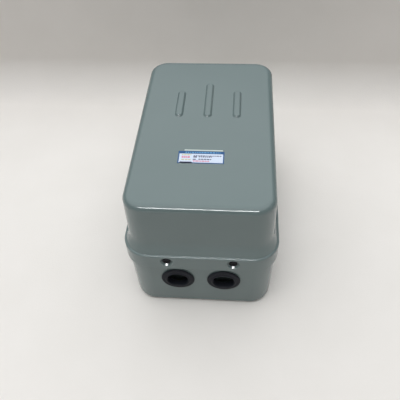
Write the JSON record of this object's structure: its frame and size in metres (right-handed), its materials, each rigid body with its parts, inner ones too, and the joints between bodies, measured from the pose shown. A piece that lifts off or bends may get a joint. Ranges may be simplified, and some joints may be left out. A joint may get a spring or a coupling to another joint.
{
  "type": "magnetic motor starter",
  "caption": "Sheet-steel box with a deep ribbed cover, rubber cable grommets, and a contactor and overload relay on a plate inside.",
  "frame": {"origin": "middle of the back, on the wall plane", "axes": "+Z out of the wall towards the cover's front face, +Y towards the upper end away from the cable entries, +X right"},
  "size_m": [0.13, 0.205, 0.129],
  "materials": {
    "enclosure_paint": "satin grey-green enamel",
    "nameplate_print": "printed foil, satin",
    "zinc_steel": "bright zinc plate",
    "dark_steel": "black oxide",
    "grommet_rubber": "moulded, semi-matt",
    "moulding_black": "thermoset, matt",
    "moulding_grey": "moulded, matt",
    "moulding_brown": "thermoset, matt",
    "moulding_cream": "moulded nylon, satin",
    "coil_tape": "polyester tape",
    "core_steel": "laminated, ground",
    "brass_parts": "bright",
    "copper_parts": "bright copper",
    "spring_steel": "drawn wire",
    "button_blue": "moulded, gloss",
    "dial_white": "moulded, gloss",
    "wire_yellow": "insulation",
    "cushion_rubber": "moulded"
  },
  "bodies": {
    "base": {"base_box": "enclosure_paint", "grommet_left": "grommet_rubber", "grommet_right": "grommet_rubber", "standoffs": "zinc_steel", "chassis_plate": "zinc_steel", "plate_screws": "zinc_steel", "earth_boss": "zinc_steel", "earth_screw": "brass_parts", "contactor_base": "moulding_black", "core_cushion": "cushion_rubber", "fixed_core": "core_steel", "shading_rings": "copper_parts", "coil_bobbin": "moulding_cream", "coil_winding": "coil_tape", "coil_terminals": "brass_parts", "coil_terminal_screws": "zinc_steel", "return_springs": "spring_steel", "contactor_body": "moulding_black", "line_contacts": "brass_parts", "load_contacts": "brass_parts", "line_terminal_screws": "zinc_steel", "load_terminal_screws": "zinc_steel", "arc_cover": "moulding_grey", "arc_cover_screws": "zinc_steel", "case_screws": "zinc_steel", "contactor_screws": "zinc_steel", "relay_housing": "moulding_black", "relay_lid": "moulding_grey", "relay_screws": "zinc_steel", "bimetal_strips": "spring_steel", "heater_windings": "copper_parts", "lever_pin": "spring_steel", "reset_spring": "spring_steel", "relay_line_strips": "brass_parts", "relay_load_strips": "brass_parts", "signal_strips": "brass_parts", "relay_line_screws": "zinc_steel", "relay_load_screws": "zinc_steel", "phase_links": "copper_parts", "control_wires": "wire_yellow", "wire_ferrules": "spring_steel"},
    "cover": {"cover": "enclosure_paint", "nameplate": "nameplate_print", "clamp_bar_front": "zinc_steel", "clamp_bar_back": "zinc_steel"},
    "screw_1": {"cover_screw_1": "dark_steel"},
    "screw_2": {"cover_screw_2": "dark_steel"},
    "screw_3": {"cover_screw_3": "dark_steel"},
    "screw_4": {"cover_screw_4": "dark_steel"},
    "armature": {"moving_core": "core_steel", "core_pin": "spring_steel", "contact_carrier": "moulding_brown", "contact_bridges": "copper_parts", "contact_springs": "spring_steel"},
    "reset": {"reset_button": "button_blue"},
    "dial": {"setting_dial": "dial_white"},
    "trip_slider": {"trip_bar": "moulding_cream"},
    "trip_rocker": {"trip_lever": "moulding_cream"}
  },
  "joints": [
    {"name": "cover_lift", "type": "slide", "parent": "base", "child": "cover", "axis": [0, 0, 1], "range_m": [0, 0.12]},
    {"name": "cover_screw_1_turn", "type": "hinge", "parent": "cover", "child": "screw_1", "pos_m": [-0.0275, -0.10065, 0.0663], "axis": [0, -1, 0], "continuous": true},
    {"name": "cover_screw_2_turn", "type": "hinge", "parent": "cover", "child": "screw_2", "pos_m": [0.0275, -0.10065, 0.0663], "axis": [0, -1, 0], "continuous": true},
    {"name": "cover_screw_3_turn", "type": "hinge", "parent": "cover", "child": "screw_3", "pos_m": [-0.0275, 0.10065, 0.0663], "axis": [0, 1, 0], "continuous": true},
    {"name": "cover_screw_4_turn", "type": "hinge", "parent": "cover", "child": "screw_4", "pos_m": [0.0275, 0.10065, 0.0663], "axis": [0, 1, 0], "continuous": true},
    {"name": "armature_pull", "type": "slide", "parent": "base", "child": "armature", "axis": [0, 0, -1], "range_m": [0, 0.005], "stiffness_N_per_m": 1000, "springref_m": -0.006, "deforming": ["return_springs"]},
    {"name": "reset_press", "type": "slide", "parent": "base", "child": "reset", "axis": [0, 0, -1], "range_m": [0, 0.004], "stiffness_N_per_m": 250, "springref_m": -0.004, "deforming": ["reset_spring"]},
    {"name": "dial_turn", "type": "hinge", "parent": "base", "child": "dial", "pos_m": [0.0275, -0.028, 0.0725], "axis": [0, 0, 1], "range_deg": [-135, 135]},
    {"name": "trip_slide", "type": "slide", "parent": "base", "child": "trip_slider", "axis": [1, 0, 0], "range_m": [0, 0.002]},
    {"name": "trip_rock", "type": "hinge", "parent": "base", "child": "trip_rocker", "pos_m": [0.0282, -0.0335, 0.0407], "axis": [0, 1, 0], "range_deg": [0, 7.5]}
  ],
  "couplings": [
    {"joint": "trip_rock", "follows": "trip_slide", "rad_per_m": 64}
  ]
}
